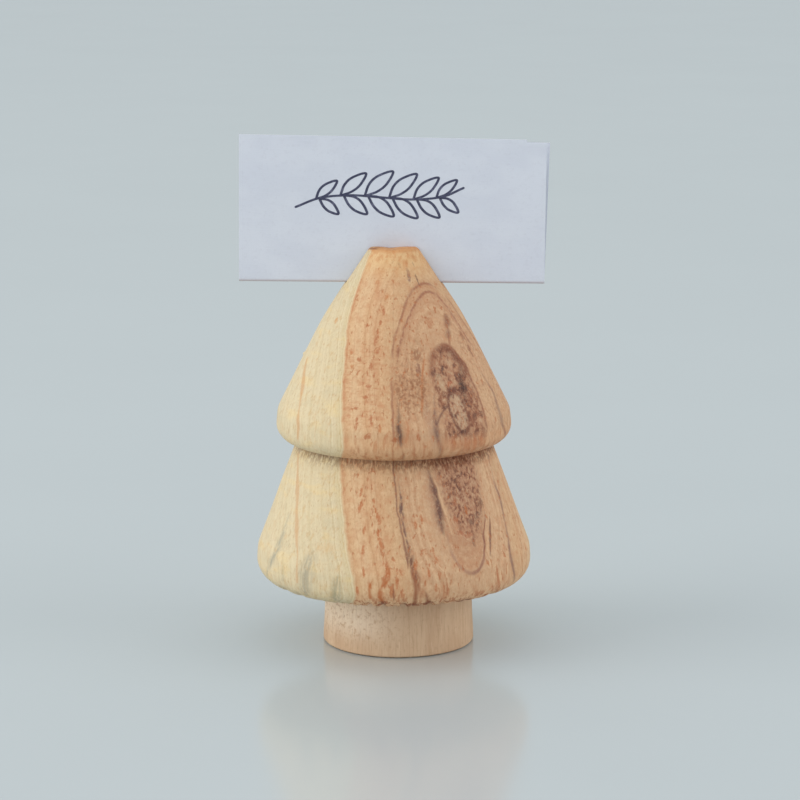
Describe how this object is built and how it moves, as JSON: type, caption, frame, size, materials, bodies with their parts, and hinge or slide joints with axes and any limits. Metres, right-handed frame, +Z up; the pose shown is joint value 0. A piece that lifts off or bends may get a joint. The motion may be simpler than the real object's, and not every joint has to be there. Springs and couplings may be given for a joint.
{
  "type": "place card holder",
  "caption": "Turned wooden fir-tree place card holder with a sawn slot in its tip that grips a folded paper card; the card lifts out and its rear leaf hinges on the crease.",
  "frame": {"origin": "centre of the footprint on the table, on the axis of the turned tree", "axes": "+Z up along the tree's axis; X along the card slot; the card's front leaf faces -Y"},
  "size_m": [0.0462, 0.0412, 0.0772],
  "materials": {
    "tree_wood": "bare sanded hardwood, cream sapwood and pinkish heartwood",
    "trunk_wood": "bare sanded hardwood, plain pinkish tan",
    "dowel_wood": "bare pressed beech",
    "card_paper": "uncoated white card",
    "pen_ink": "dry dark blue-grey pen ink on the card"
  },
  "bodies": {
    "holder": {"tree_body": "tree_wood", "trunk": "trunk_wood", "trunk_dowel": "dowel_wood"},
    "card_front": {"card_front_leaf": "card_paper"},
    "card_back": {"card_back_leaf": "card_paper"}
  },
  "joints": [
    {"name": "card_lift", "type": "slide", "parent": "holder", "child": "card_front", "axis": [0, 0, 1], "range_m": [0, 0.02]},
    {"name": "card_fold", "type": "hinge", "parent": "card_front", "child": "card_back", "pos_m": [-0.0003, -0.00028, 0.0554], "axis": [1, 0, -0.0087], "range_deg": [0, 6]}
  ]
}
